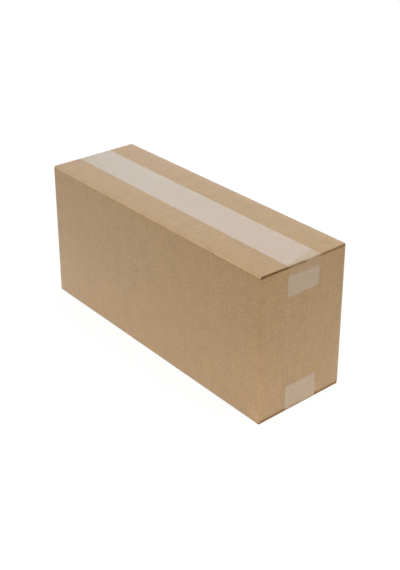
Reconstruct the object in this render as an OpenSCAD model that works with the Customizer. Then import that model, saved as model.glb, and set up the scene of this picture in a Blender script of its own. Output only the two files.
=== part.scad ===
// Closed regular slotted carton of single wall corrugated board, taped along the top and bottom seams.
// The origin is the middle of the underside. +X runs along the seam and +Z is up.
// The joint where the blank is glued into a tube is at the back left corner, at -X and +Y.

/* [Carton] */
// Outside length, along the seam
box_length = 395; // [250:1:600]
// Outside width, across the seam
box_width = 127; // [100:1:260]
// Outside height of the carton, without the tape
box_height = 182; // [130:1:400]

/* [Board] */
// Thickness of the corrugated board
board = 3; // [2.4:0.1:5]
// Thickness of the paper liner on each face of the board
liner = 0.3; // [0.2:0.05:0.5]
// Distance from one flute to the next
flute_pitch = 6.4; // [4:0.1:9]

/* [Flaps] */
// Outside radius of every crease
crease_radius = 2.2; // [0.5:0.1:2.4]
// Reach of the short flaps in from the end faces
short_flap_reach = 63; // [30:1:100]
// Gap between the long flaps where they meet at the seam
seam_gap = 0.5; // [0.4:0.1:4]
// Clearance between folded layers that are not glued
layer_gap = 0.2; // [0.1:0.1:1]
// Width of the slot beside each edge of a short flap
slot_width = 0.7; // [0.5:0.1:6]
// How far each slot is cut past its crease
slot_relief = 0.4; // [0.2:0.1:3]
// How far a cut edge stops short of the end face beside it
edge_inset = 0.8; // [0.3:0.1:3]
// How far the top front flap, which folded a little off square, stops short of the end face at +X
front_flap_inset = 2.2; // [0.8:0.1:5]

/* [Glue joint] */
// Width of the glue tab, inside the back panel
tab_width = 35; // [15:1:60]
// How much each end of the tab is cut back from root to tip
tab_taper = 9; // [2:1:25]
// Distance from the ends of the tab's root to the slots
tab_setback = 2; // [0.5:0.5:10]

/* [Tape] */
// Width of the tape on the roll
tape_width = 48; // [24:1:72]
// Thickness of the tape with its adhesive
tape_thickness = 0.1; // [0.05:0.01:0.3]
// Length of the top tape folded down over each end
top_lap = 37; // [15:1:60]
// Length of the bottom tape folded up over each end
bottom_lap = 32; // [15:1:60]
// Distance of the top tape's middle from the seam at the -X end
top_shift_left = 1; // [-10:0.5:10]
// Distance of the top tape's middle from the seam at the +X end
top_shift_right = -0.5; // [-10:0.5:10]
// Distance of the bottom tape's middle from the seam, all along
bottom_shift = 1; // [-10:0.5:10]

/* [Hidden] */
kraft = "#b8966e";
clear_tape = "#c9bba6";
// Faces per turn of a rounded crease
round_fn = 48;
// Steps along the curve of an opened flute
flute_steps = 8;
// The curve of an opened flute stops short of the liner, where the medium is glued to it
flute_end = 0.85;
// Overshoot of cutting shapes past the faces that they cut
cut = 2;

half_length = box_length / 2;
half_width = box_width / 2;
half_height = box_height / 2;
// Height of the gap between the liners
flute_height = board - 2 * liner;
// Outside faces of the short flaps, one board and a clearance below the long flaps
short_flap_level = half_height - board - layer_gap;
// Tops of the end panels, where the slots end
slot_level = short_flap_level - crease_radius - slot_relief;
// Tops of the long panels, where their flaps begin to fold
crease_level = half_height - board - slot_relief;
// Cut ends of the long flaps and of the back panel at the glued joint
cut_end = half_length - edge_inset;
top_front_end = half_length - max(edge_inset, front_flap_inset);
long_flap_reach = half_width - seam_gap / 2;
inner_half_width = half_width - board;
// Middle of the carton above the surface that the bottom tape rests on
carton_middle = tape_thickness + half_height;

// Corner at the origin, less the curve of the given radius that stays
module corner_waste(radius) {
    difference() {
        translate([-cut, -cut]) square(radius + cut);
        translate([radius, radius]) circle(radius, $fn = round_fn);
    }
}

// Section of a panel that rises from the origin and folds inwards along +X at a crease
module folded_section(rise, reach) {
    difference() {
        union() {
            square([board, rise]);
            translate([0, rise - board]) square([reach, board]);
        }
        translate([0, rise]) mirror([0, 1]) corner_waste(crease_radius);
    }
}

// Space that a cut along a flute opens between the liners: X runs into the board from the cut edge at 0,
// and the far side follows half a wave of the corrugated medium
module opened_flute_section() {
    curve = [for (i = [0 : flute_steps])
        let (t = flute_end * i / flute_steps)
        [t * flute_pitch / 2, liner + flute_height * (1 + cos(180 * t)) / 2]];
    polygon(concat([[-cut, liner], [-cut, board - liner]], curve, [[flute_end * flute_pitch / 2, liner]]));
}

// A flap with the top of its panel, folded inwards along +X, with its crease centred on the Y axis
module flap(rise, reach, width) {
    difference() {
        rotate([90, 0, 0]) linear_extrude(width, center = true) folded_section(rise, reach);
        for (side = [0, 1]) mirror([0, side, 0])
            translate([board, -width / 2, rise - board])
                rotate([90, 0, 90]) linear_extrude(reach - board + cut) opened_flute_section();
    }
}

// Plan of the front panel, with the outsides of both its corner creases
module front_panel_plan() {
    difference() {
        translate([-half_length, -half_width]) square([box_length, board]);
        for (side = [0, 1]) mirror([side, 0])
            translate([-half_length, -half_width]) corner_waste(crease_radius);
    }
}

// Plan of the back panel: creased at +X, and cut off square at -X, where it covers the glue tab
module back_panel_plan() {
    difference() {
        translate([-cut_end, inner_half_width]) square([half_length + cut_end, board]);
        translate([half_length, half_width]) rotate(180) corner_waste(crease_radius);
        translate([-cut_end, inner_half_width]) opened_flute_section();
    }
}

// Plan of the left end panel, creased where it turns into the glue tab
module left_panel_plan() {
    difference() {
        translate([-half_length, -inner_half_width]) square([board, 2 * inner_half_width]);
        translate([-half_length, inner_half_width]) mirror([0, 1]) corner_waste(crease_radius);
    }
}

// Glue tab on the inside of the back panel, narrowed from its root to its tip
module glue_tab() {
    root = slot_level - tab_setback;
    tip = root - tab_taper;
    translate([-half_length, inner_half_width, 0])
        rotate([90, 0, 0]) linear_extrude(board)
            polygon([[board / 2, -root], [board, -root], [tab_width, -tip],
                [tab_width, tip], [board, root], [board / 2, root]]);
}

module panels() {
    linear_extrude(2 * crease_level, center = true) {
        front_panel_plan();
        back_panel_plan();
    }
    linear_extrude(2 * slot_level, center = true) {
        left_panel_plan();
        translate([half_length - board, -inner_half_width]) square([board, 2 * inner_half_width]);
    }
    glue_tab();
}

// The two long flaps at the top, which meet at the seam. The front one ends at front_end on the +X side.
module long_flaps(front_end) {
    rise = half_height - crease_level;
    translate([(front_end - cut_end) / 2, -half_width, crease_level])
        rotate(90) flap(rise, long_flap_reach, front_end + cut_end);
    translate([0, half_width, crease_level])
        rotate(-90) flap(rise, long_flap_reach, 2 * cut_end);
}

// The two short flaps at the top. The one over the glue tab is narrower by the radius of the tab's crease.
module short_flaps() {
    edge = inner_half_width - slot_width;
    joint_edge = edge - crease_radius;
    rise = short_flap_level - slot_level;
    translate([half_length, 0, slot_level]) rotate(180) flap(rise, short_flap_reach, 2 * edge);
    translate([-half_length, (joint_edge - edge) / 2, slot_level])
        flap(rise, short_flap_reach, edge + joint_edge);
}

module carton() {
    color(kraft)
        translate([0, 0, carton_middle]) {
            panels();
            for (end = [0, 1]) mirror([0, 0, end]) {
                long_flaps(end == 0 ? top_front_end : cut_end);
                short_flaps();
            }
        }
}

// Outline of the carton's length, with its top at height 0 and both top corners rounded
module tape_bed(length, depth, radius) {
    difference() {
        translate([-length / 2, -depth]) square([length, depth]);
        for (side = [0, 1]) mirror([side, 0])
            translate([-length / 2, 0]) mirror([0, 1]) corner_waste(radius);
    }
}

// A strip of tape along the top seam, with its underside at height 0, folded down over both ends
module tape(lap, shift_left, shift_right) {
    half_tape = tape_width / 2;
    strip = box_length + 2 * tape_thickness;
    end = half_length + cut;
    intersection() {
        rotate([90, 0, 0]) linear_extrude(box_width, center = true)
            difference() {
                translate([0, tape_thickness])
                    tape_bed(strip, lap + tape_thickness, edge_inset + tape_thickness);
                tape_bed(box_length, lap + cut, edge_inset);
            }
        translate([0, 0, -lap - cut]) linear_extrude(lap + 2 * cut)
            polygon([[-end, shift_left - half_tape], [end, shift_right - half_tape],
                [end, shift_right + half_tape], [-end, shift_left + half_tape]]);
    }
}

module top_tape() {
    color(clear_tape)
        translate([0, 0, carton_middle + half_height]) tape(top_lap, top_shift_left, top_shift_right);
}

module bottom_tape() {
    color(clear_tape)
        translate([0, 0, tape_thickness]) mirror([0, 0, 1]) tape(bottom_lap, bottom_shift, bottom_shift);
}

carton();
top_tape();
bottom_tape();
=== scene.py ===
import math

import bpy
import numpy as np
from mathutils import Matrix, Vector


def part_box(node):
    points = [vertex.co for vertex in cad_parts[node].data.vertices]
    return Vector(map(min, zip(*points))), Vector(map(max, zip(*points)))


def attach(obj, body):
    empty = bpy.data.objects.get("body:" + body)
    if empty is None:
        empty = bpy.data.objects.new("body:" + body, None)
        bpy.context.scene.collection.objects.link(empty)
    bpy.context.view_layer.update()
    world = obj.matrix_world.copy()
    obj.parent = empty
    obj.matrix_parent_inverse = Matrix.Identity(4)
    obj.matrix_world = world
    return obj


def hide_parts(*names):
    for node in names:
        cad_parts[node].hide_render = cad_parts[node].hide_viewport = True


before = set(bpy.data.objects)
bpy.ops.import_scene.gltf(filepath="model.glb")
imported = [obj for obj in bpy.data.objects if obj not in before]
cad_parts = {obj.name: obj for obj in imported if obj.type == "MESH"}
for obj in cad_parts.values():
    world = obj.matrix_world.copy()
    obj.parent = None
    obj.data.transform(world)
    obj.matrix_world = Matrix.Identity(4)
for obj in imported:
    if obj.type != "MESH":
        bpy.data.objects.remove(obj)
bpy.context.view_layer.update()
cartonLow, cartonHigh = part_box("carton")
topTapeLow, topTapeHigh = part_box("top_tape")
bottomTapeLow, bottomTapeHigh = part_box("bottom_tape")
halfLength = (cartonHigh.x - cartonLow.x) / 2
halfWidth = (cartonHigh.y - cartonLow.y) / 2
halfHeight = (cartonHigh.z - cartonLow.z) / 2
middle = (cartonHigh.z + cartonLow.z) / 2  # the carton's middle above the floor
print(f"frame loaded: carton {halfLength * 2:.4f} x {halfWidth * 2:.4f} x {halfHeight * 2:.4f} m")


# Camera. The lens axis meets the picture above its middle, as in a view that was cropped or shifted.
view = {
    "imageSize": (400, 570),  # pixels
    "axisPixel": (200, 185),
    "focalPixels": 1011.7,
    "position": (0.8560, -0.6960, 0.6802),
    "azimuth": 50.12,  # degrees, 0 looks along +Y and 90 along -X
    "elevation": 23.39,  # degrees that it looks down
    "sensor": 36.0,  # mm on the long side
}


def makeCamera():
    long = max(view["imageSize"])
    data = bpy.data.cameras.new("camera")
    data.sensor_width = view["sensor"]
    data.lens = view["focalPixels"] * view["sensor"] / long
    data.shift_x = (view["imageSize"][0] / 2 - view["axisPixel"][0]) / long
    data.shift_y = (view["axisPixel"][1] - view["imageSize"][1] / 2) / long
    camera = bpy.data.objects.new("camera", data)
    bpy.context.scene.collection.objects.link(camera)
    azimuth, elevation = math.radians(view["azimuth"]), math.radians(view["elevation"])
    level = math.cos(elevation)
    ahead = Vector((-math.sin(azimuth) * level, math.cos(azimuth) * level, -math.sin(elevation)))
    camera.location = view["position"]
    camera.rotation_mode = "QUATERNION"
    camera.rotation_quaternion = ahead.to_track_quat("-Z", "Y")
    bpy.context.scene.camera = camera


makeCamera()
print("camera placed")


# Shader maths. Arithmetic on a Wire adds Math nodes, and node() adds any other kind.
class Wire:
    def __init__(self, tree, socket=None):
        self.tree, self.socket = tree, socket

    # a node's type, its settings, the values or links of its sockets, and which output to carry on from
    def node(self, kind, settings, inputs, output=0):
        made = self.tree.nodes.new(kind)
        for name, value in settings.items():
            setattr(made, name, value)
        for name, value in inputs.items():
            if isinstance(value, Wire):
                self.tree.links.new(value.socket, made.inputs[name])
            else:
                made.inputs[name].default_value = value
        return Wire(self.tree, made.outputs[output])

    def maths(self, operation, first, second):
        return self.node("ShaderNodeMath", {"operation": operation}, {0: first, 1: second})

    def __add__(self, other):
        return self.maths("ADD", self, other)

    def __sub__(self, other):
        return self.maths("SUBTRACT", self, other)

    def __rsub__(self, other):
        return self.maths("SUBTRACT", other, self)

    def __mul__(self, other):
        return self.maths("MULTIPLY", self, other)

    __radd__, __rmul__ = __add__, __mul__

    def larger(self, other):
        return self.maths("MAXIMUM", self, other)

    # first where this is 0 and second where it is 1
    def blend(self, first, second):
        return self * (second - first) + first

    def mixColour(self, first, second):
        return self.node("ShaderNodeMix", {"data_type": "RGBA"}, {0: self, 6: first, 7: second}, 2)

    # 0 below low and 1 above high, with a smooth step between
    def step(self, low, high):
        inputs = {"Value": self, "From Min": low, "From Max": high}
        return self.node("ShaderNodeMapRange", {"interpolation_type": "SMOOTHSTEP"}, inputs)

    # noise at this place, after each axis is multiplied by its stretch
    def noise(self, stretch, scale, detail, roughness, curl=0.0):
        stretched = self.node("ShaderNodeMapping", {}, {"Vector": self, "Scale": stretch})
        inputs = {"Vector": stretched, "Scale": scale, "Detail": detail, "Roughness": roughness}
        inputs["Distortion"] = curl
        return self.node("ShaderNodeTexNoise", {}, inputs)

    def feed(self, shader, socket):
        self.tree.links.new(self.socket, shader.inputs[socket])


def newMaterial(name):
    material = bpy.data.materials.new(name)
    material.use_nodes = True
    tree = material.node_tree
    return material, Wire(tree), tree.nodes["Principled BSDF"]


def linear(red, green, blue):
    # display values from 0 to 255 as a linear colour
    shares = [value / 255 for value in (red, green, blue)]
    return tuple(((c + 0.055) / 1.055) ** 2.4 if c > 0.04 else c / 12.92 for c in shares) + (1,)


def smooth(value, low, high):
    # 3 t^2 - 2 t^3, where t goes from 0 at low to 1 at high
    t = np.clip((value - low) / (high - low), 0, 1)
    return t * t * (3 - 2 * t)


# Folded board. Every layer of the carton is one sheet of the flat blank, folded by the same formula.
board = {
    "thickness": 0.003,
    "liner": 0.0003,  # thickness of each facing
    "medium": 0.00025,  # thickness of the fluted paper between them
    "flutePitch": 0.006284,
    "flutePhase": -0.45,  # where the wave stands at the front panel's near edge, in flutes, at mid height
    "fluteSlant": 0.25,  # how many flutes it has moved by the top
    "creaseRadius": 0.0022,  # outside, at the corners and the long flaps
    "shortCrease": (0.0003, 0.0005),  # outside, at the short flaps of the bottom and of the top
    "tightRadius": 0.00015,  # the least, inside
    "layerGap": 0.00008,  # between the short flaps and the long ones over them
    "seamGap": 0.0002,
    "edgeInset": 0.001,  # of the long flaps and of the back panel's glued edge, at the far end
    "frontInset": (0.0027, 0.0018),  # near end of the top front flap, at its crease and at its tip
    "backInset": (0.0003, 0.0002),  # the same for the top back flap
    "bottomInset": 0.0001,  # near ends of both bottom flaps
    "shortReach": 0.063,
    "slotWidth": 0.0001,
    "flapClearance": 0.0003,  # between a short flap's edge and the long panel's inside
    "postRise": 0.0007,  # how far the corners stand above the underside of the long flaps
    "tabWidth": 0.035,
    "tabTaper": 0.009,
    "tabSetback": 0.002,  # of the tab's ends from the slots
    "washboard": 0.000025,  # how far the outer liner dips between flutes
    "creaseCrush": 0.00022,  # how much more it dips along a crease
    "creaseSpread": 0.23,  # how wide the crushed band is, as a share of the crease
    "warp": 0.0003,  # how far the panels bend inwards
    "warpVariety": 0.4,  # how much of the bend comes and goes
    "warpWaves": 1.7,  # how often, in half waves along a panel
    "pressedSeam": 0.0003,  # how far the flaps are pressed down at the seam, at the right end
    "pressedLength": 0.05,  # how far in from that end it begins
    "slackSeam": 0.0004,  # how far the seam sags between the short flaps
    "sharpAngle": 50,  # degrees, edges that turn more than this are shaded sharp
}


def foldRadius(depth, outer):
    return np.maximum(outer - depth, board["tightRadius"])


def endTop(sign):
    # height above the middle at which the crease of an end panel begins
    crease = board["shortCrease"][1 if sign > 0 else 0]
    return halfHeight - board["thickness"] - board["layerGap"] - crease


def flapDrop(x, nearSeam, sign):
    # How far a flap lies inwards of its crease's level. nearSeam goes from 0 at its crease to 1 at its
    # tip. The pressed part grows evenly with it, and the sag, a parabola along x, grows with its square.
    pressed = smooth(x, halfLength - board["pressedLength"], halfLength) * (sign > 0)
    slack = np.clip(1 - (x / (halfLength - board["shortReach"])) ** 2, 0, 1)
    return board["pressedSeam"] * pressed * nearSeam + board["slackSeam"] * slack * nearSeam**2


def panelBend(share, rise, sign):
    # Inward bend of a panel: half a sine wave across it times a parabola up it, which is nothing along its
    # creases and most in its middle, times a slower wave that slants over the panel.
    variety = board["warpVariety"]
    uneven = 1 - variety + variety * np.sin(math.pi * (board["warpWaves"] * share + sign * rise))
    return board["warp"] * np.sin(math.pi * np.clip(share, 0, 1)) * (1 - rise**2) * uneven


def blankRuns():
    # The runs of the blank in the order of travel: back, right end, front, left end and tab. Each has its
    # length, where its flaps start and end along the panel, at the crease of the top flap, at its tip and
    # for the whole of the bottom flap, and the shares of the run between which the flaps are hinged.
    radius, inset = board["creaseRadius"], board["edgeInset"]
    flatX, flatY = halfLength - radius, halfWidth - radius
    inner = halfWidth - board["thickness"]
    edge = inner - board["flapClearance"]
    farX = inset - halfLength
    backX = [halfLength - value for value in board["backInset"]]
    frontX = [halfLength - value for value in board["frontInset"]]
    lowX = halfLength - board["bottomInset"]
    right, left = (edge, -edge), (-edge, edge - radius)
    rightLength, leftLength = 2 * flatY, flatY + inner - radius
    rightHinge = ((flatY - edge) / rightLength, (flatY + edge) / rightLength)
    leftHinge = ((flatY - edge) / leftLength, (flatY + edge - radius) / leftLength)
    backEnds = ((farX, backX[0]), (farX, backX[1]), (farX, lowX))
    frontEnds = ((frontX[0], farX), (frontX[1], farX), (lowX, farX))
    return [
        {"length": flatX - farX, "ends": backEnds, "hinge": (0, 1)},
        {"length": rightLength, "ends": (right, right, right), "hinge": rightHinge},
        {"length": 2 * flatX, "ends": frontEnds, "hinge": (0, 1)},
        {"length": leftLength, "ends": (left, left, left), "hinge": leftHinge},
        {"length": board["tabWidth"] - radius, "ends": ((0, 0), (0, 0), (0, 0)), "hinge": None},
    ]


def makeColumns(perFlute, perCorner):
    # One column for each place round the blank, from the back panel's glued edge to the tip of the tab.
    # share is its place between the ends of its run or corner, along is the length of board travelled to
    # it, and flapShare is its place between the side edges of the flap.
    spacing = board["flutePitch"] / perFlute
    quarter = board["creaseRadius"] * math.pi / 2
    turn, none = np.linspace(0, 1, perCorner + 2)[1:-1], np.zeros(perCorner, bool)
    stretches, travelled = [], 0.0
    for index, run in enumerate(blankRuns()):
        length = run["length"]
        low, high = run["hinge"] or (0, 1)
        count = max(3, int(round(length * (high - low) / spacing)))
        places, flapShare = np.linspace(low, high, count), np.linspace(0, 1, count)
        flap = np.full(count, run["hinge"] is not None)
        if low > 0:  # to each side of a short flap come its slot and a narrow post
            slot = board["slotWidth"] / length
            places = np.concatenate([[0, low - slot], places, [high + slot, 1]])
            flap = np.concatenate([[False, False], flap, [False, False]])
            flapShare = np.concatenate([[0, 0], flapShare, [1, 1]])
        which, still = np.full(len(places), index), np.zeros(len(places), bool)
        stretches.append((which, places, travelled + places * length, still, flap, flapShare))
        travelled += length
        if index < 4:  # every run but the tab ends at a corner
            which = np.full(perCorner, index)
            stretches.append((which, turn, travelled + turn * quarter, ~none, none, 0 * turn))
            travelled += quarter
    keys = ("run", "share", "along", "isCorner", "hasFlap", "flapShare")
    return {key: np.concatenate(values) for key, values in zip(keys, zip(*stretches))}


def makeRows(perPanel, perCrease, perFlap):
    # Rows go up the blank: -3 is the tip of the bottom flap, -2 and -1 are the ends of its crease, 0 is the
    # middle of the panel, 1 and 2 are the ends of the top flap's crease and 3 is its tip.
    crease = np.linspace(1, 2, perCrease + 1)[1:]
    flap = np.linspace(2, 3, perFlap + 1)[1:]
    upper = np.concatenate([crease, flap])
    return np.concatenate([-upper[::-1], np.linspace(-1, 1, perPanel), upper])


def onLongPanel(columns):
    # true for the columns of the front and the back
    return np.isin(columns["run"], (0, 2))[:, None]


def planPlace(columns, depth):
    # Where each column stands in plan at a depth below the outside face, and the panel's outward direction.
    # A run is the straight line between the tangent points of its two corners, and a corner is a quarter
    # circle of the fold radius about a centre that lies the fold distance in from both faces.
    thickness = board["thickness"]
    radius = foldRadius(depth, board["creaseRadius"])
    centre = depth + radius
    farX, farY = halfLength - centre, halfWidth - centre
    corners = [(farX, farY), (farX, -farY), (-farX, -farY), (-farX, farY - thickness)]
    facing = np.radians([90.0, 0.0, -90.0, -180.0, -270.0])
    x, y = np.zeros_like(depth), np.zeros_like(depth)
    outward = np.zeros((len(depth), 2))
    share = columns["share"][:, None]
    for index in range(5):
        turned, coming = corners[index - 1], corners[min(index, 3)]
        cosine, sine = math.cos(facing[index]), math.sin(facing[index])
        start = (turned[0] + radius * cosine, turned[1] + radius * sine)
        end = (coming[0] + radius * cosine, coming[1] + radius * sine)
        if index == 0:
            start = (board["edgeInset"] - halfLength, halfWidth - depth)
        if index == 4:
            end = (board["tabWidth"] - halfLength, halfWidth - thickness - depth)
        straight = (columns["run"] == index) & ~columns["isCorner"]
        x = np.where(straight[:, None], start[0] + (end[0] - start[0]) * share, x)
        y = np.where(straight[:, None], start[1] + (end[1] - start[1]) * share, y)
        outward[straight] = (cosine, sine)
        turning = (columns["run"] == index) & columns["isCorner"]
        angle = facing[index] - share * math.pi / 2
        x = np.where(turning[:, None], coming[0] + radius * np.cos(angle), x)
        y = np.where(turning[:, None], coming[1] + radius * np.sin(angle), y)
        outward[turning] = np.hstack([np.cos(angle), np.sin(angle)])[turning]
    return x, y, outward


def flapSpread(columns, rows):
    # How far each point of a flap lies from its place above the panel's columns, along the crease: the
    # flap's columns are spread evenly between its two side edges, and come to that over the crease.
    w, sign = np.abs(rows)[None, :], np.sign(rows)[None, :]
    reached = np.clip(w - 2, 0, 1)[..., None]
    ends = np.array([each["ends"] for each in blankRuns()])[columns["run"]][:, None, :, :]
    crease, tip, low = ends[:, :, 0], ends[:, :, 1], ends[:, :, 2]
    sides = np.where(sign[..., None] > 0, crease + (tip - crease) * reached, low)
    cut = sides[..., 0] + (sides[..., 1] - sides[..., 0]) * columns["flapShare"][:, None]
    x, y, _ = planPlace(columns, np.zeros((len(columns["run"]), 1)))
    place = np.where(onLongPanel(columns), x, y)
    return (cut - place) * smooth(w, 1, 2) * columns["hasFlap"][:, None]


def fluteWave(columns, rows):
    # A cosine along the blank, 1 where the medium touches the outer liner and -1 where it touches the inner
    # one. Flaps keep the wave at the length of board where they really are.
    start = columns["along"][(columns["run"] == 2) & ~columns["isCorner"]].min()
    heading = np.array([1, -1, -1, 1, 1])[columns["run"]][:, None]  # 1 for travel towards +x or +y
    along = columns["along"][:, None] - start + heading * flapSpread(columns, rows)
    phase = board["flutePhase"] + board["fluteSlant"] * np.clip(rows, -1, 1)[None, :]
    return np.cos(2 * math.pi * (along / board["flutePitch"] + phase))


def panelTops(columns):
    # Heights above the middle at which columns without a flap are cut: posts beside the corners, the lower
    # slot over the glued corner, and the tab, which tapers evenly to its tip.
    run, isCorner, share = columns["run"], columns["isCorner"], columns["share"]
    postTop = halfHeight - board["thickness"] + board["postRise"]
    slotTop = endTop(1) - board["shortCrease"][1]
    tabTop = slotTop - board["tabSetback"]
    top = np.full(len(run), postTop)
    top = np.where((run == 3) & ~isCorner & (share > 0.5), slotTop, top)
    top = np.where((run == 3) & isCorner, tabTop, top)
    return np.where(run == 4, tabTop - board["tabTaper"] * share, top)


def foldSheet(columns, rows, depth, dip=0.0):
    # A point of the blank rises up its panel, turns a quarter circle inwards at the crease and runs on to
    # the flap's tip. It lies radius * (1 - cos turn) + run inwards, and the panel's top + radius * sin turn
    # above the middle. The bend of the panel, the drop of the flap and the dip of the layer move it inwards
    # from there. Rows say how far along that way, columns which panel, and depth which layer. The place on
    # the flat blank comes back too.
    w, sign = np.abs(rows)[None, :], np.sign(rows)[None, :]
    depth = depth + np.zeros((len(columns["run"]), len(rows)))
    rise, reached = np.clip(w, 0, 1), np.clip(w - 2, 0, 1)
    turn = np.clip(w - 1, 0, 1) * math.pi / 2
    x, y, outward = planPlace(columns, depth)
    longPanel, hasFlap = onLongPanel(columns), columns["hasFlap"][:, None]
    shortCrease = np.where(sign > 0, board["shortCrease"][1], board["shortCrease"][0])
    radius = foldRadius(depth, np.where(longPanel, board["creaseRadius"], shortCrease))
    centre = depth + radius
    shortLevel = halfHeight - board["thickness"] - board["layerGap"]
    shortLevel = shortLevel - flapDrop(x, np.clip(1 - np.abs(y) / halfWidth, 0, 1), sign)
    level = np.where(longPanel, halfHeight, shortLevel)
    reach = np.where(longPanel, halfWidth - board["seamGap"] / 2, board["shortReach"])
    top = np.where(hasFlap, level - centre, panelTops(columns)[:, None])
    run = reached * (reach - centre)
    along = columns["along"][:, None] + 0 * depth
    flat = np.stack([along, sign * (rise * top + radius * turn + run)], 2)
    spread = flapSpread(columns, rows)
    placeX, placeY = x + spread * longPanel, y + spread * ~longPanel
    share = np.where(columns["isCorner"], 0, columns["share"])[:, None]
    bend = panelBend(share, rise, sign) * (w <= 1)
    inwards = radius * (1 - np.cos(turn)) + run + bend + dip * np.cos(turn)
    drop = flapDrop(placeX, reached, sign) * longPanel * hasFlap
    z = rise * top + radius * np.sin(turn) - drop - dip * np.sin(turn)
    foldedX = placeX - outward[:, :1] * inwards
    foldedY = placeY - outward[:, 1:] * inwards
    return np.stack([foldedX, foldedY, middle + sign * z], 2), flat


def sheetFaces(columns, rows):
    # four corners of each cell that the blank has: all of the panels, and the flaps between their slots
    count = len(rows)
    panelCell = np.abs((rows[:-1] + rows[1:]) / 2) < 1
    both = columns["hasFlap"][:-1] & columns["hasFlap"][1:] & (columns["run"][:-1] == columns["run"][1:])
    i, j = np.nonzero(both[:, None] | panelCell[None, :])
    first = i * count + j
    return np.stack([first, first + 1, first + count + 1, first + count], 1)


def closedSheet(name, outside, inside, flat, faces, material, marks=None):
    # The outside and inside faces of one layer, joined by a rim round every cut edge, which is an edge that
    # only one face uses. Marks are values at its points for the material to read.
    outside, inside, flat = outside.reshape(-1, 3), inside.reshape(-1, 3), flat.reshape(-1, 2)
    count = len(outside)
    edges = np.stack([faces, np.roll(faces, -1, 1)], 2).reshape(-1, 2)
    keys = np.sort(edges, 1)
    _, index, uses = np.unique(keys[:, 0] * count + keys[:, 1], return_index=True, return_counts=True)
    rim = edges[index[uses == 1]]
    rimFaces = np.stack([rim[:, 1], rim[:, 0], rim[:, 0] + count, rim[:, 1] + count], 1)
    allFaces = np.concatenate([faces, faces[:, ::-1] + count, rimFaces])
    used, allFaces = np.unique(allFaces, return_inverse=True)
    allFaces = allFaces.reshape(-1, 4)
    mesh = bpy.data.meshes.new(name)
    mesh.from_pydata(np.concatenate([outside, inside])[used], [], allFaces)
    layer = mesh.uv_layers.new(name="flat")
    layer.data.foreach_set("uv", np.concatenate([flat, flat])[used][allFaces.ravel()].ravel())
    for label, values in (marks or {}).items():
        doubled = np.concatenate([values.ravel(), values.ravel()])[used]
        mesh.attributes.new(label, "FLOAT", "POINT").data.foreach_set("value", doubled)
    mesh.materials.append(material)
    mesh.shade_smooth()
    mesh.set_sharp_from_angle(angle=math.radians(board["sharpAngle"]))
    mesh.update()
    piece = bpy.data.objects.new(name, mesh)
    bpy.context.scene.collection.objects.link(piece)
    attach(piece, "root")
    print(f"{name}: {len(allFaces)} faces")
    return piece


# Kraft liner, in the flat blank's own coordinates: U round the box, V along the flutes
kraft = {
    "dark": linear(145, 109, 59),
    "pale": linear(187, 147, 89),
    # stretch, scale, detail, roughness and curl of each noise, and how much it changes the tone
    "patterns": {
        "cloud": ((1, 1, 1), 60, 3, 0.6, 0.0, 0.4),
        "floc": ((1, 1, 1), 420, 3, 0.6, 0.0, 1.2),
        "fibre": ((1, 0.6, 1), 1100, 2, 0.6, 3.0, 0.8),
        # streak: tone along the flutes, a painted shade of the washboard
        "streak": ((1, 0.015, 1), 320, 3, 0.7, 0.0, 0.35),
    },
    "speck": ((1, 1, 1), 1500, 1, 0.5, 1.0),  # noise of the few dark specks
    "speckEdge": (0.70, 0.80),  # the noise at which a speck begins, and at which it is full
    "speckDepth": 0.35,
    "bump": (0.2, 0.0001),  # strength, and height in metres
    "roughness": 0.5,
    "specular": 0.25,
    "sheen": 0.6,  # pale bloom of the loose fibres at a slant
    "wornAndLit": linear(222, 192, 154),  # the scuffed fibres of a folded edge, and a painted highlight along it
    "wearAndHighlight": 0.7,  # scuffing and a painted highlight along the long flaps' creases
    "shortWearAndHighlight": 0.3,  # share of it along the short flaps' creases
    "cornerSheen": 0.16,  # share of it down the upright corners, a painted sheen on their rounding
}

# Inner liner and fluted medium. Their paper's colour is made paler, a painted light that lifts the shade in
# the open flutes at the cut ends.
innerPaper = {
    "dark": linear(168, 131, 90),
    "pale": linear(206, 168, 124),
    "grain": ((0.4, 1, 1), 1200, 3, 0.6),  # stretch, scale, detail and roughness of its noise
    "roughness": 0.85,
}


def addBump(wire, shader, height, strength, distance):
    inputs = {"Strength": strength, "Distance": distance, "Height": height}
    wire.node("ShaderNodeBump", {}, inputs).feed(shader, "Normal")


def makeKraft():
    material, wire, shader = newMaterial("kraft liner")
    place = wire.node("ShaderNodeUVMap", {"uv_map": "flat"}, {})
    crease = wire.node("ShaderNodeAttribute", {"attribute_name": "crease"}, {}, 2)
    tone, noises = 0.5, {}
    for name, (*shape, amount) in kraft["patterns"].items():
        noises[name] = place.noise(*shape)
        tone = (noises[name] - 0.5) * amount + tone
    tone = tone - place.noise(*kraft["speck"]).step(*kraft["speckEdge"]) * kraft["speckDepth"]
    colour = tone.step(0.0, 1.0).mixColour(kraft["dark"], kraft["pale"])
    # paler along the creases: scuffed fibres and a painted highlight, and a painted sheen down the corners
    rubbedAndLit = crease * (noises["cloud"] + 0.5) * kraft["wearAndHighlight"]
    rubbedAndLit.mixColour(colour, kraft["wornAndLit"]).feed(shader, "Base Color")
    shader.inputs["Roughness"].default_value = kraft["roughness"]
    shader.inputs["Specular IOR Level"].default_value = kraft["specular"]
    shader.inputs["Sheen Weight"].default_value = kraft["sheen"]
    addBump(wire, shader, tone, *kraft["bump"])
    return material


def makeInnerPaper():
    material, wire, shader = newMaterial("inner paper")
    place = wire.node("ShaderNodeUVMap", {"uv_map": "flat"}, {})
    tone = place.noise(*innerPaper["grain"])
    tone.mixColour(innerPaper["dark"], innerPaper["pale"]).feed(shader, "Base Color")
    shader.inputs["Roughness"].default_value = innerPaper["roughness"]
    return material


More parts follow.
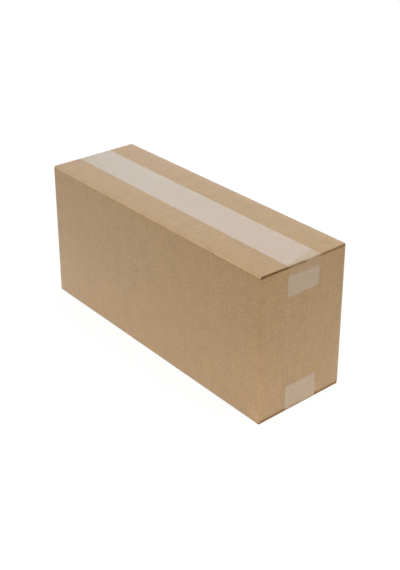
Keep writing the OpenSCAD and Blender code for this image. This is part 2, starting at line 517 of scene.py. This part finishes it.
def makeCarton(kraftMaterial, innerMaterial):
    thickness, liner, medium = board["thickness"], board["liner"], board["medium"]
    # outer liner: it dips between the flutes, and more along a crease
    columns = makeColumns(perFlute=6, perCorner=5)
    rows = makeRows(perPanel=13, perCrease=8, perFlap=6)
    # the crease mark: scuffing and a painted highlight along the flaps' creases, painted sheen down the
    # upright corners
    creased = np.exp(-(((np.abs(rows) - 1.5) / board["creaseSpread"]) ** 2)) * columns["hasFlap"][:, None]
    wornAndLit = creased * np.where(onLongPanel(columns), 1.0, kraft["shortWearAndHighlight"])
    corner = np.where(columns["isCorner"], 1.0, 0.0)[:, None] * (np.abs(rows) <= 1)
    dip = (board["washboard"] + board["creaseCrush"] * creased) * (1 - fluteWave(columns, rows)) / 2
    outside, flat = foldSheet(columns, rows, 0, dip)
    inside, _ = foldSheet(columns, rows, liner, dip)
    faces, marks = sheetFaces(columns, rows), {"crease": wornAndLit + kraft["cornerSheen"] * corner}
    pieces = [closedSheet("carton_outer_liner", outside, inside, flat, faces, kraftMaterial, marks)]
    # fluted medium: a wave from liner to liner
    columns = makeColumns(perFlute=10, perCorner=5)
    rows = makeRows(perPanel=5, perCrease=4, perFlap=4)
    swing = (thickness - 2 * liner - medium) / 2
    depth = thickness / 2 - swing * fluteWave(columns, rows)
    outside, flat = foldSheet(columns, rows, depth - medium / 2)
    inside, _ = foldSheet(columns, rows, depth + medium / 2)
    faces = sheetFaces(columns, rows)
    pieces.append(closedSheet("carton_flutes", outside, inside, flat, faces, innerMaterial))
    # inner liner
    columns = makeColumns(perFlute=1, perCorner=3)
    rows = makeRows(perPanel=5, perCrease=3, perFlap=4)
    outside, flat = foldSheet(columns, rows, thickness - liner)
    inside, _ = foldSheet(columns, rows, thickness)
    faces = sheetFaces(columns, rows)
    pieces.append(closedSheet("carton_inner_liner", outside, inside, flat, faces, innerMaterial))
    for piece in pieces:
        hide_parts("carton")


makeCarton(makeKraft(), makeInnerPaper())


# Tape. A thin film follows the flaps, folds over their cut ends and runs down each end panel.
film = {
    "thickness": 0.00004,
    "gap": 0.00001,  # above the board
    "trim": 0.0003,  # off each side of the solid's width
    "foldRadius": 0.0005,
    "lapRise": 0.0002,  # how far above the end of the panel the lap still lies in its plane
    "seamBlend": 0.003,  # to each side of the seam, from one flap's end to the other's
    "steps": {"across": 97, "lap": 25, "slope": 7, "fold": 6, "top": 121},  # rows and columns of points
    # small lengthwise wrinkles: place across, middle and reach along, and share of the height
    "ridges": (
        (-0.004, -0.09, 0.05, 1.0),
        (0.003, 0.0, 0.07, 0.8),
        (-0.001, 0.08, 0.06, 0.7),
        (0.012, -0.13, 0.03, 0.6),
        (-0.013, 0.12, 0.04, 0.5),
    ),
    "ridge": 0.00003,  # height
    "ridgeWidth": 0.0011,
    "ridgeSlant": 0.01,
    "toothPitch": 0.0012,  # of the cut ends
    "toothDepth": 0.00015,
    # haze: how much each of the film's two faces covers what is under it
    # the top's haze, with its whitish colour, is partly a painted reflection of the pale surroundings
    "topHaze": 0.40,
    "lapHaze": 0.45,
    "lapClear": 0.07,  # where a lap sticks well
    "bridge": (0.16, 0.42),  # painted cover over the dark gaps at the flaps' cut ends, at the front flap and at the back one
    "bridgeAcross": (0.0, 0.003),  # it goes from one to the other here
    # where one part fades into the next, in metres past the fold
    "foldHaze": (0.0004, 0.0012),  # haze of the top
    "bridgeEnd": (0.00238, 0.0034),
    "topClear": 0.0115,  # clear band below the fold of the top tape
    "bottomClear": -0.001,  # the bottom tape has hardly any
    "clearFade": 0.002,
    "sideClear": (0.0209, 0.0233),  # laps are clear beyond this, in metres from the middle to the back
    # well stuck wedge beside the fold at the right end, deeper towards the back
    "wedgeReach": (0.004, 0.015),
    "wedgeAcross": (-0.03, 0.02),
    "wedgeFade": (0.001, 0.004),
    "wedgeAlong": (0.2, 0.3),  # metres along the film, so that the left end has none
    "nearAlong": (0.15, 0.42),  # where the top goes from its left colour to its right one, losing painted reflection
    # linear colours
    "topSheenColour": (0.715, 0.645, 0.535, 1),  # towards the left end, whiter with a painted reflection
    "nearColour": (0.757, 0.618, 0.50, 1),  # towards the right end
    "wedgeColour": (0.655, 0.515, 0.33, 1),
    "lapColour": (0.72, 0.56, 0.39, 1),
    "clearColour": (0.82, 0.68, 0.50, 1),
    # the panel's colour in shade, painted over the dark gap at the flaps' cut ends
    "bridgeShadeColour": (0.63, 0.43, 0.24, 1),
    "drift": (0.007, (1, 1, 1), 110, 2, 0.5),  # how far the edges of the haze wander, and its noise
    "blotch": (0.12, (1, 1, 1), 160, 2, 0.5),  # share by which the haze varies, and its noise
    "streak": ((0.05, 1, 1), 220, 2, 0.5),  # noise of the fine lengthwise streaks
    "bump": (0.15, 0.0002),  # strength, and height in metres
    "roughness": 0.3,
    "ior": 1.65,
}


def boardTop(x, y, sign):
    # Height of the closed flaps above the carton's middle: half the box's height less the drop of the
    # flap, whose nearSeam is the share of its flat width from its crease to the seam.
    flat = halfWidth - board["creaseRadius"]
    return halfHeight - flapDrop(x, np.clip((flat - np.abs(y)) / flat, 0, 1), sign)


def tapeEnd(across, lap, shift, sign, end):
    # One end of the tape as rows from its cut end to the top. The lap is a straight line up the bent end
    # panel, then comes a straight line to just below the flap's upper edge, and a parabola round that edge,
    # from the point a fold radius below it to the point a fold radius in from it.
    gap, fold, steps = film["gap"], film["foldRadius"], film["steps"]
    y = across + shift
    edgeX = halfLength - board["edgeInset"] + 0 * y
    if end > 0 and sign > 0:
        frontX, backX = halfLength - board["frontInset"][1], halfLength - board["backInset"][1]
        edgeX = frontX + (backX - frontX) * smooth(y, -film["seamBlend"], film["seamBlend"])
    if end > 0 and sign < 0:
        edgeX = halfLength - board["bottomInset"] + 0 * y
    teeth = np.abs((across / film["toothPitch"]) % 1 - 0.5) * 2 * film["toothDepth"]
    panelTop = endTop(sign) + film["lapRise"]
    rows = np.linspace(0, 1, steps["lap"])[:, None]
    lapZ = (halfHeight - lap + teeth) * (1 - rows) + panelTop * rows
    span = 2 * (halfWidth - board["creaseRadius"])
    bend = panelBend(0.5 - end * y / span, lapZ / panelTop, sign)
    lapPath = np.stack([halfLength + gap - bend, y + 0 * lapZ, lapZ], 2)
    corner = np.stack([edgeX + gap, y, boardTop(end * edgeX, y, sign) + gap], 2)
    down = lapPath[-1:] - corner
    leave = corner + down / np.linalg.norm(down, axis=2, keepdims=True) * fold
    arrive = corner - np.array([fold, 0, 0])
    slope = lapPath[-1:] + (leave - lapPath[-1:]) * np.linspace(0, 1, steps["slope"])[1:, None, None]
    t = np.linspace(0, 1, steps["fold"])[1:, None, None]
    turn = leave * (1 - t) ** 2 + corner * 2 * t * (1 - t) + arrive * t**2
    path = np.concatenate([lapPath, slope, turn])
    path[..., 0] *= end
    return path, len(lapPath) + len(slope) + 2


def tapeGrid(lap, shifts, sign, half):
    # The whole strip as rows along it. Between its two ends it is straight in plan and lies a gap above the
    # flaps, plus wrinkles: narrow bell curves across the tape that come and go as wide ones along it.
    # pastFold is the length of film past the nearer fold, and less than 0 on top.
    steps = film["steps"]
    across = np.linspace(-half, half, steps["across"])[None, :]
    left, foldRow = tapeEnd(across, lap, shifts[0], sign, -1)
    right, _ = tapeEnd(across, lap, shifts[1], sign, 1)
    right = right[::-1]
    t = np.linspace(0, 1, steps["top"])[1:-1, None]
    x = left[-1, :, 0] * (1 - t) + right[0, :, 0] * t
    y = left[-1, :, 1] * (1 - t) + right[0, :, 1] * t
    wrinkle = np.zeros_like(x)
    for place, centre, reach, height in film["ridges"]:
        offset = (across - place - film["ridgeSlant"] * (x - centre)) / film["ridgeWidth"]
        wrinkle += height * np.exp(-(offset**2) - ((x - centre) / reach) ** 2)
    z = boardTop(x, y, sign) + film["gap"] + film["ridge"] * np.clip(wrinkle, 0, 1)
    grid = np.concatenate([left, np.stack([x, y, z], 2), right])
    stride = np.linalg.norm(np.diff(grid, axis=0), axis=2)
    along = np.concatenate([np.zeros((1, grid.shape[1])), np.cumsum(stride, 0)])
    pastFold = np.maximum(along[foldRow] - along, along - along[-1 - foldRow])
    return grid, np.stack([along, np.broadcast_to(across, along.shape)], 2), pastFold


def makeTape(name, node, lap, shifts, sign, half, material):
    grid, flat, pastFold = tapeGrid(lap, shifts, sign, half)
    grid[..., 2] = middle + sign * grid[..., 2]
    # the outer face lies the film's thickness along the vector product of the grid's two directions
    normal = np.cross(np.gradient(grid, axis=0), np.gradient(grid, axis=1)) * sign
    normal /= np.linalg.norm(normal, axis=2, keepdims=True)
    rows, count = grid.shape[:2]
    first = (np.arange(rows - 1)[:, None] * count + np.arange(count - 1)[None, :]).ravel()
    faces = np.stack([first, first + count, first + count + 1, first + 1], 1)
    if sign < 0:
        faces = faces[:, ::-1]
    outer = grid + normal * film["thickness"]
    piece = closedSheet(name, outer, grid, flat, faces, material, {"pastFold": pastFold})
    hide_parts(node)


def makeFilm(name, clearBand):
    # Alpha is topHaze on top. On the laps it is lapHaze, or lapClear where they stick well, and over the
    # cut ends of the flaps it rises by what the bridge has above a clear lap, a painted shade in the
    # panel's shaded colour that covers the dark gap there. All of it is blotched.
    material, wire, shader = newMaterial(name)
    place = wire.node("ShaderNodeUVMap", {"uv_map": "flat"}, {})
    pastFold = wire.node("ShaderNodeAttribute", {"attribute_name": "pastFold"}, {}, 2)
    along = wire.node("ShaderNodeSeparateXYZ", {}, {"Vector": place}, "X")
    across = wire.node("ShaderNodeSeparateXYZ", {}, {"Vector": place}, "Y")
    driftLength, *driftNoise = film["drift"]
    drift = (place.noise(*driftNoise) - 0.5) * driftLength + pastFold
    blotchShare, *blotchNoise = film["blotch"]
    blotch = (place.noise(*blotchNoise) - 0.5) * blotchShare + 1
    # masks, 1 on the laps, on the wedge, on the clear part of the laps and over the cut ends of the flaps
    onLap = pastFold.step(*film["foldHaze"])
    reach = across.step(*film["wedgeAcross"]).blend(*film["wedgeReach"])
    onWedge = (drift + reach).step(*film["wedgeFade"]) * along.step(*film["wedgeAlong"])
    onBand = 1 - drift.step(clearBand, clearBand + film["clearFade"])
    onClear = onBand.larger(across.step(*film["sideClear"]))
    onBridge = 1 - pastFold.step(*film["bridgeEnd"])
    bridge = across.step(*film["bridgeAcross"]).blend(*film["bridge"])
    lap = onClear.blend(film["lapHaze"], film["lapClear"]) + onBridge * (bridge - film["lapClear"])
    (onLap.blend(film["topHaze"], lap) * blotch).feed(shader, "Alpha")
    lapColour = onClear.mixColour(film["lapColour"], film["clearColour"])
    # over the cut ends the film takes a painted shade, the panel's shaded colour, covering the dark gap
    lapColour = onBridge.mixColour(lapColour, film["bridgeShadeColour"])
    # the top's colour holds a painted reflection, whiter towards the left end
    topSheenColour = along.step(*film["nearAlong"]).mixColour(film["topSheenColour"], film["nearColour"])
    topSheenColour = onWedge.mixColour(topSheenColour, film["wedgeColour"])
    onLap.mixColour(topSheenColour, lapColour).feed(shader, "Base Color")
    shader.inputs["Roughness"].default_value = film["roughness"]
    shader.inputs["IOR"].default_value = film["ior"]
    addBump(wire, shader, place.noise(*film["streak"]), *film["bump"])
    return material


tapeHalf = (bottomTapeHigh.y - bottomTapeLow.y) / 2
filmHalf = tapeHalf - film["trim"]
bottomShift = (bottomTapeHigh.y + bottomTapeLow.y) / 2
bottomShifts = (bottomShift, bottomShift)
topShifts = (topTapeHigh.y - tapeHalf, topTapeLow.y + tapeHalf)  # askew: left end back, right end forward
topLap = cartonHigh.z - topTapeLow.z
bottomLap = bottomTapeHigh.z - cartonLow.z
hazyTape, evenTape = makeFilm("hazy tape", film["topClear"]), makeFilm("even tape", film["bottomClear"])
makeTape("top_tape_film", "top_tape", topLap, topShifts, 1, filmHalf, hazyTape)
makeTape("bottom_tape_film", "bottom_tape", bottomLap, bottomShifts, -1, filmHalf, evenTape)


# Floor and light
studio = {
    "floorSize": 12.0,
    "floorColour": (0.9, 0.9, 0.9, 1),
    "floorRoughness": 0.9,
    "whiteShare": 0.85,  # how much of the floor the camera sees as plain white, without its shading
    "whiteLevel": 1.06,
    "worldLevel": 0.58,  # strength of its light, where the camera and reflections see 1
    # Place, what it faces, width, depth and watts of each soft lamp. The cards lie on the floor.
    "lamps": {
        "overhead": ((0.4, -0.1, 1.5), (0.1, 0, 0), 1.2, 1.2, 8.0),
        "front left": ((-1.6, -2.6, 1.4), (0, 0, 0), 1.5, 1.5, 5.0),
        "behind": ((-1.0, 1.45, 1.1), (0.1, 0, 0.15), 1.8, 1.1, 8.0),
        "front card": ((0.0, -0.1205, 0.0005), (0.0, -0.1205, 1.0), 0.8, 0.112, 0.14),
        "end card": ((0.2545, 0.0, 0.0005), (0.2545, 0.0, 1.0), 0.112, 0.5, 0.08),
    },
}


def makeFloor():
    half = studio["floorSize"] / 2
    corners = [(-half, -half, 0), (half, -half, 0), (half, half, 0), (-half, half, 0)]
    mesh = bpy.data.meshes.new("floor")
    mesh.from_pydata(corners, [], [(0, 1, 2, 3)])
    material, wire, shader = newMaterial("white floor")
    shader.inputs["Base Color"].default_value = studio["floorColour"]
    shader.inputs["Roughness"].default_value = studio["floorRoughness"]
    seen = wire.node("ShaderNodeLightPath", {}, {}, "Is Camera Ray")
    white = wire.node("ShaderNodeEmission", {}, {"Color": (1, 1, 1, 1), "Strength": studio["whiteLevel"]})
    lit = Wire(wire.tree, shader.outputs["BSDF"])
    mixed = wire.node("ShaderNodeMixShader", {}, {0: seen * studio["whiteShare"], 1: lit, 2: white})
    mixed.feed(wire.tree.nodes["Material Output"], "Surface")
    mesh.materials.append(material)
    floor = bpy.data.objects.new("floor", mesh)
    bpy.context.scene.collection.objects.link(floor)


def makeLight():
    scene = bpy.context.scene
    scene.view_settings.view_transform = "Standard"
    world = bpy.data.worlds.new("world")
    world.use_nodes = True
    scene.world = world
    wire = Wire(world.node_tree)
    background = world.node_tree.nodes["Background"]
    background.inputs["Color"].default_value = (1, 1, 1, 1)
    seen = wire.node("ShaderNodeLightPath", {}, {}, "Is Camera Ray")
    for ray in ("Is Glossy Ray", "Is Transmission Ray"):
        seen = seen.larger(wire.node("ShaderNodeLightPath", {}, {}, ray))
    seen.blend(studio["worldLevel"], 1).feed(background, "Strength")
    for name, (place, aim, width, depth, watts) in studio["lamps"].items():
        data = bpy.data.lights.new(name, "AREA")
        data.shape, data.size, data.size_y, data.energy = "RECTANGLE", width, depth, watts
        lamp = bpy.data.objects.new(name, data)
        scene.collection.objects.link(lamp)
        lamp.location = place
        lamp.rotation_mode = "QUATERNION"
        lamp.rotation_quaternion = (Vector(aim) - Vector(place)).to_track_quat("-Z", "Y")
        lamp.visible_camera = False


makeFloor()
makeLight()
print("floor and light placed")
